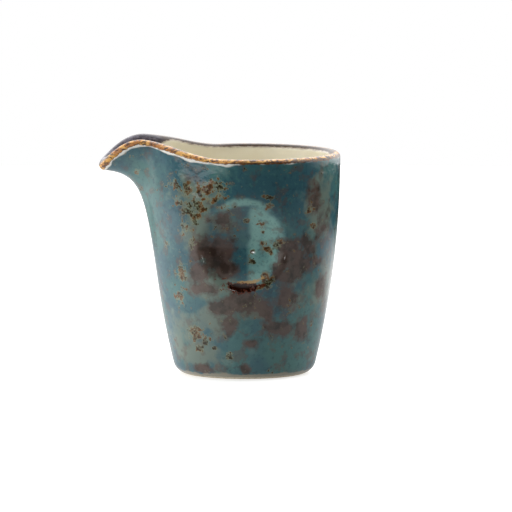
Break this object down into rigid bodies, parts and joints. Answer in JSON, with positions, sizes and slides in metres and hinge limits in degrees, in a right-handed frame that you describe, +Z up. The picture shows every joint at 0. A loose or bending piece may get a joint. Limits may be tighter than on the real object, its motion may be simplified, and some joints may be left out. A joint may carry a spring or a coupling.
{
  "type": "ceramic pitcher",
  "caption": "Small ceramic pouring jug without a handle: tapered round cup, pulled beak spout, a round thumb dimple in each side, reactive teal glaze.",
  "frame": {"origin": "on the standing surface, under the middle of the bounding box; the axis of the round body is 8.5 mm from it towards +X", "axes": "+Z up; the spout points along -X; the thumb dimples face -Y and +Y"},
  "size_m": [0.0819, 0.0648, 0.0804],
  "materials": {
    "clay": "bare vitrified clay, matte, slightly gritty",
    "outer_glaze": "glossy reactive teal glaze with brown patches and rust specks",
    "inner_glaze": "glossy cream liner glaze",
    "rim_glaze": "semi-gloss iron oxide glaze broken to orange and brown",
    "base_glaze": "glossy cream liner glaze"
  },
  "bodies": {
    "root": {"clay_body": "clay", "outer_glaze": "outer_glaze", "inner_glaze": "inner_glaze", "rim_band": "rim_glaze", "base_glaze": "base_glaze"}
  },
  "joints": []
}
